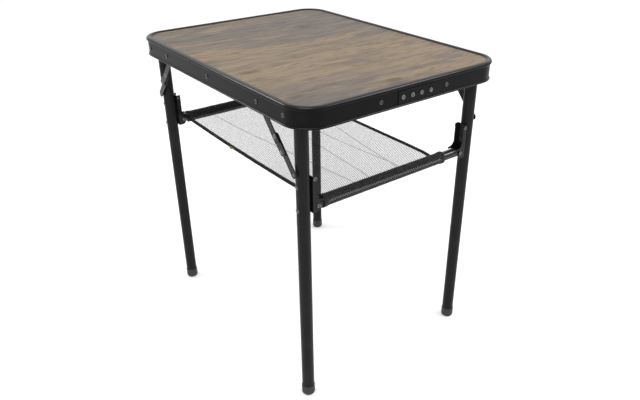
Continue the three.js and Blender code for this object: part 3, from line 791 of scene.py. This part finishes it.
class TABLE_OT_legs(bpy.types.Operator):
    """Leg tubes, hinge brackets, elbow brackets and crossbars"""
    bl_idname = "camp_table.legs"
    bl_label = "Legs and crossbars"

    def execute(self, context):
        corners = [f"{end}_{hand}" for end, hand in CORNERS]
        tube = painted_metal("tube_coat", 0.02, 0.3, (1.5, 1.5, 1.5), sides=0.1)
        pressed = painted_metal("bracket_coat", 0.02, 0.25, (1.4, 1.4, 1.4), 0.8, 0.22)
        gloss = painted_metal("crossbar_coat", -0.16, 0.1, gloss=1.0, sides=0.5)
        dress([f"upper_leg_{c}" for c in corners] + [f"lower_leg_{c}" for c in corners], tube)
        dress([f"hinge_bracket_{c}" for c in corners] + [f"elbow_bracket_{c}" for c in corners],
              pressed, 0.0004)
        dress(["crossbar_front", "crossbar_back"], gloss)
        self.bolts(context)
        return {"FINISHED"}

    def bolts(self, context):
        """Bolt heads through the legs and the elbow brackets."""
        bright = bright_metal("dark_plated_steel", 0.3, 0.2)
        for end, hand in CORNERS:
            corner = f"{end}_{hand}"
            side, way = HANDS[hand], ENDS[end]
            low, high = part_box(f"elbow_bracket_{corner}")
            bm = bmesh.new()
            for rise in LEG_BOLTS:
                place = (side * (LEG_X + LEG_RADIUS), way * LEG_Y, BAR_Z + rise)
                add_head(bm, (side, 0, 0), place, BOLT_RADIUS, BOLT_RISE, 0.0012)
            inner_face = (high.y - low.y) / 2 - 0.0018
            leg_side = LEG_X - LEG_RADIUS - FIT_GAP
            for inset, z in ((0.005, high.z - 0.005), (0.012, BAR_Z)):
                for facing in (-1, 1):
                    place = (side * (leg_side - inset), way * LEG_Y + facing * inner_face, z)
                    add_head(bm, (0, facing, 0), place, BOLT_RADIUS, BOLT_RISE, 0.0004, 0.0004)
            new_piece(f"leg_bolts_{corner}", bm, bright, f"frame_{end}")


class TABLE_OT_braces(bpy.types.Operator):
    """Folding braces with their rivets"""
    bl_idname = "camp_table.braces"
    bl_label = "Braces"

    def execute(self, context):
        corners = [f"{end}_{hand}" for end, hand in CORNERS]
        dress([f"brace_upper_{c}" for c in corners] + [f"brace_lower_{c}" for c in corners],
              painted_metal("link_coat", -0.04, 0.2, (1.6, 1.6, 1.6), 0.5, 0.2), 0.0005)
        bright = bright_metal("link_rivet", 0.35, 0.22)
        for end, hand in CORNERS:
            corner = f"{end}_{hand}"
            side = HANDS[hand]
            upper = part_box(f"brace_upper_{corner}")
            pivot = JOINT_AT[f"brace_upper_pivot_{corner}"]
            foot = JOINT_AT[f"brace_lower_pivot_{corner}"]
            along = Vector((0, foot.y - pivot.y, foot.z - pivot.z))
            reach, drop = abs(along.y), abs(along.z)
            elbow = (along.length - (drop - reach)) / 2
            along.normalize()
            face = self.face(upper)
            bm = bmesh.new()
            for distance in (elbow, elbow + LOCK_RIVET):
                place = Vector((side * face, pivot.y, pivot.z)) + along * distance
                add_head(bm, (side, 0, 0), place, LINK_RIVET_RADIUS, LINK_RIVET_RISE, 0.0004, 0.0003)
            new_piece(f"brace_rivets_{corner}", bm, bright, f"brace_upper_{corner}")
            bm = bmesh.new()
            lower_face = max(abs(point.x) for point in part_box(f"brace_lower_{corner}")) - 0.0011
            add_head(bm, (side, 0, 0), (side * lower_face, foot.y, foot.z),
                     LINK_RIVET_RADIUS, LINK_RIVET_RISE, 0.0004, 0.0003)
            new_piece(f"brace_foot_rivet_{corner}", bm, bright, f"brace_lower_{corner}")
        return {"FINISHED"}

    def face(self, box):
        """The outer face of an upper link: its inner face, known from the box, and its thickness."""
        inner = min(abs(box[0].x), abs(box[1].x))
        return inner + LINK_THICKNESS


class TABLE_OT_feet(bpy.types.Operator):
    """Moulded foot caps"""
    bl_idname = "camp_table.feet"
    bl_label = "Feet"

    def execute(self, context):
        material = moulded_rubber()
        for end, hand in CORNERS:
            corner = f"{end}_{hand}"
            low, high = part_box(f"foot_cap_{corner}")
            outer = (high.x - low.x) / 2
            top = high.z
            inner = LEG_RADIUS + 0.0002
            curve = 0.0045
            profile = [(0, 0), (outer - curve, 0)]
            profile += [(outer - curve + curve * math.sin(a), curve - curve * math.cos(a))
                        for a in [math.pi / 2 * i / 5 for i in range(1, 6)]]
            for rib in (0.0085, 0.0125):
                profile += [(outer, rib - 0.0009), (outer - 0.0004, rib - 0.0004),
                            (outer - 0.0004, rib + 0.0004), (outer, rib + 0.0009)]
            profile += [(outer, top - 0.0006), (outer - 0.0003, top), (inner, top), (inner, top - 0.013),
                        (0, top - 0.013)]
            centre = (low + high) / 2
            bm = lathe(profile, (0, 0, 1), (centre.x, centre.y, 0), 40)
            cap = new_piece(f"foot_{corner}", bm, material, f"lower_leg_{corner}",
                            replaces=[f"foot_cap_{corner}"])
            smoothed(cap)
        return {"FINISHED"}


def net_edges(y):
    """The net's left and right edges along its length; the right one is drawn in near the sleeves."""
    part = min(1, abs(y) / NET_HIGH.y)
    return SLEEVE_LOW.x - 0.0045, SLEEVE_HIGH.x + 0.0025 - 0.0065 * part ** 2 - 0.006 * part ** 12


def net_hang(y, sag):
    """The height of the net's edges: a little sag between the crossbars."""
    return BAR_Z - sag * (1 - (abs(y) / NET_HIGH.y) ** 2)


def sleeve_crease(x, angle, way):
    """How far the sleeve's cloth stands out at a place along and round its crossbar."""
    return 0.00045 * noise.noise(Vector((x * 55, angle * 1.5, way)))


def net_height(x, y, sag):
    """The net's height: its sag, with slow waves and long creases that die out at its edges."""
    left, right = net_edges(y)
    inside = max(0.0, min(1.0, (x - left) / 0.03, (right - x) / 0.03, (NET_HIGH.y - abs(y)) / 0.03))
    creases = sum(0.0016 * math.exp(-(((at + lean * y - x) / 0.005) ** 2)) for at, lean in CREASES)
    wave = 0.0016 * noise.noise(Vector((x * 16, y * 9, 0.3)))
    return net_hang(y, sag) + (creases + wave) * inside


class TABLE_OT_shelf(bpy.types.Operator):
    """Net shelf with its side bindings, tabs, sleeves and stitching"""
    bl_idname = "camp_table.shelf"
    bl_label = "Net shelf"

    def execute(self, context):
        settings = context.scene.table_shelf
        # the sleeve's cloth gets a brighter painted highlight on its thread crowns
        cloth = woven_cloth("sleeve_cloth", 0.0042, 0.06, highlight_lift=0.09)
        tape = woven_cloth("binding_tape", 0.0011, 0.04)
        thread = stitch_thread()
        net_finish = net_material()
        for end, way in ENDS.items():
            self.sleeve(end, way, cloth)
            self.stitches(end, way, thread)
            extras = [self.binding(settings, end, way, hand, tape) for hand in HANDS]
            self.net(settings, end, way, net_finish, extras)
        self.tabs(settings, woven_cloth("tab_cloth", 0.0011, 0.1, tuple(settings.tab)))
        return {"FINISHED"}

    def hang(self, piece, end, way):
        """Bakes a piece's placement into its mesh."""
        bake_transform(piece)

    def net(self, settings, end, way, material, extras):
        """Half of the net, from its sleeve to the middle."""
        across, along = 64, 40
        bm = bmesh.new()
        rows = []
        for j in range(along + 1):
            y = way * (NET_HIGH.y + 0.002) * j / along
            left, right = net_edges(y)
            row = []
            for i in range(across + 1):
                x = left + 0.003 + (right - left - 0.006) * i / across
                row.append(bm.verts.new((x, y, net_height(x, y, settings.sag))))
            rows.append(row)
        ring_faces(bm, rows, closed_ring=False)
        name = f"net_{end}"
        piece = new_piece(name, bm, material, replaces=["shelf_net"])
        self.hang(piece, end, way)

    def binding(self, settings, end, way, hand, material):
        """A folded tape along one side of the net, from its sleeve to the middle."""
        side = HANDS[hand]
        steps = 40
        bm = bmesh.new()
        rings = []
        half, thick = settings.binding / 2, 0.0013
        section = [(-half, -thick * 0.3), (-half * 0.9, -thick), (0, -thick * 1.1), (half * 0.85, -thick),
                   (half, -thick * 0.4), (half, thick * 0.4), (half * 0.85, thick), (0, thick * 1.1),
                   (-half * 0.9, thick), (-half, thick * 0.3)]
        for j in range(steps + 1):
            y = way * (NET_HIGH.y + 0.001) * j / steps
            left, right = net_edges(y)
            edge = left + half if side < 0 else right - half
            z = net_hang(y, settings.sag)
            ripple = 0.0003 * noise.noise(Vector((side * 3, y * 90, 0.7)))
            rings.append([bm.verts.new((edge + side * u, y, z + v + ripple)) for u, v in section])
        ring_faces(bm, rings)
        bm.faces.new(rings[0])
        bm.faces.new(rings[-1])
        piece = new_piece(f"binding_{hand}_{end}", bm, material,
                          replaces=[f"shelf_binding_{hand}"])
        self.hang(piece, end, way)
        return piece

    def sleeve(self, end, way, material):
        """A fabric loop round the crossbar, drawn in towards the net, with a thicker hem at each end."""
        bm = bmesh.new()
        round_, steps = 28, 110
        rings = []
        low, high = SLEEVE_LOW.x, SLEEVE_HIGH.x
        for i in range(steps + 1):
            x = low + (high - low) * i / steps
            from_end = min(x - low, high - x)
            hem = 0.0011 * (1 / (1 + math.exp((from_end - 0.0085) / 0.0012)))
            ring = []
            for j in range(round_):
                angle = 2 * math.pi * j / round_
                out, up = math.cos(angle), math.sin(angle)
                pull = max(0, -out) ** 3
                base = BAR_RADIUS + SLEEVE_CLOTH + hem
                radius = base + sleeve_crease(x, angle, way)
                y = out * radius - pull * 0.0022
                z = up * radius * (1 - 0.55 * pull)
                ring.append(bm.verts.new((x, way * LEG_Y + way * y, BAR_Z + z)))
            rings.append(ring)
        inner = []
        for x in (high, low):
            ring = []
            for j in range(round_):
                angle = 2 * math.pi * j / round_
                radius = BAR_RADIUS + 0.0002
                ring.append(bm.verts.new((x, way * (LEG_Y + math.cos(angle) * radius),
                                          BAR_Z + math.sin(angle) * radius)))
            inner.append(ring)
        ring_faces(bm, rings + inner, closed_run=True)
        new_piece(f"fabric_sleeve_{end}", bm, material, f"frame_{end}",
                  replaces=[f"shelf_sleeve_{end}"])

    def stitches(self, end, way, material):
        """A zigzag of pale thread along the outer side of the sleeve."""
        bm = bmesh.new()
        tilt, swing = math.radians(13), math.radians(11)
        radius = BAR_RADIUS + 0.0021
        step, wide = 0.0027, 0.00055
        start, stop = SLEEVE_LOW.x + 0.006, SLEEVE_HIGH.x - 0.009
        rings = []
        for i in range(int((stop - start) / step) + 1):
            x = start + i * step
            angle = tilt + (swing if i % 2 else -swing)
            out = Vector((0, way * math.cos(angle), math.sin(angle)))
            place = Vector((x, way * LEG_Y, BAR_Z)) + out * (radius + sleeve_crease(x, angle, way))
            rings.append([bm.verts.new(place + Vector((wide * math.cos(a), 0, 0)) + out * wide * math.sin(a))
                          for a in (math.radians(90), math.radians(210), math.radians(330))])
        ring_faces(bm, rings)
        new_piece(f"sleeve_stitching_{end}", bm, material, f"frame_{end}")

    def tabs(self, settings, material):
        """A small plain tab sewn to each side binding."""
        for hand, side in HANDS.items():
            bm = bmesh.new()
            rings = []
            y0, size = 0.035, 0.014
            for i in range(7):
                y = y0 + size * i / 6
                left, right = net_edges(y)
                edge = left if side < 0 else right
                z = net_height(edge, y, settings.sag)
                out = 0.005 * math.sin(math.pi * min(1, 0.15 + i / 7))
                rings.append([bm.verts.new((edge + side * u, y, z + v)) for u, v in
                              ((-0.002, 0.0016), (out, 0.0022), (out + 0.0006, 0.0012), (-0.002, -0.0004))])
            ring_faces(bm, rings)
            bm.faces.new(rings[0])
            bm.faces.new(rings[-1])
            tab = new_piece(f"tab_{hand}", bm, material)
            self.hang(tab, "back", 1)


class TABLE_PT_panel(bpy.types.Panel):
    """The table's pieces, one button each"""
    bl_idname = "TABLE_PT_panel"
    bl_label = "Camp Table"
    bl_space_type = "VIEW_3D"
    bl_region_type = "UI"
    bl_category = "Camp Table"

    def draw(self, context):
        for operator in OPERATORS:
            self.layout.operator(operator.bl_idname)
        for name, group in SETTINGS.items():
            box = self.layout.box()
            settings = getattr(context.scene, name)
            for key in group.__annotations__:
                box.prop(settings, key)


OPERATORS = (TABLE_OT_stage, TABLE_OT_board, TABLE_OT_edge_frame, TABLE_OT_legs, TABLE_OT_braces,
             TABLE_OT_feet, TABLE_OT_shelf)
SETTINGS = {
    "table_stage": StageSettings,
    "table_board": BoardSettings,
    "table_metal": MetalSettings,
    "table_edge": EdgeSettings,
    "table_shelf": ShelfSettings,
}


def register():
    for group in (*SETTINGS.values(), *OPERATORS, TABLE_PT_panel):
        bpy.utils.register_class(group)
    for name, group in SETTINGS.items():
        setattr(bpy.types.Scene, name, PointerProperty(type=group))


def unregister():
    for name in SETTINGS:
        delattr(bpy.types.Scene, name)
    for group in (TABLE_PT_panel, *reversed(OPERATORS), *SETTINGS.values()):
        bpy.utils.unregister_class(group)


def main():
    """Builds every piece in order."""
    register()
    for operator in OPERATORS:
        namespace, name = operator.bl_idname.split(".")
        getattr(getattr(bpy.ops, namespace), name)()


if __name__ == "__main__":
    main()
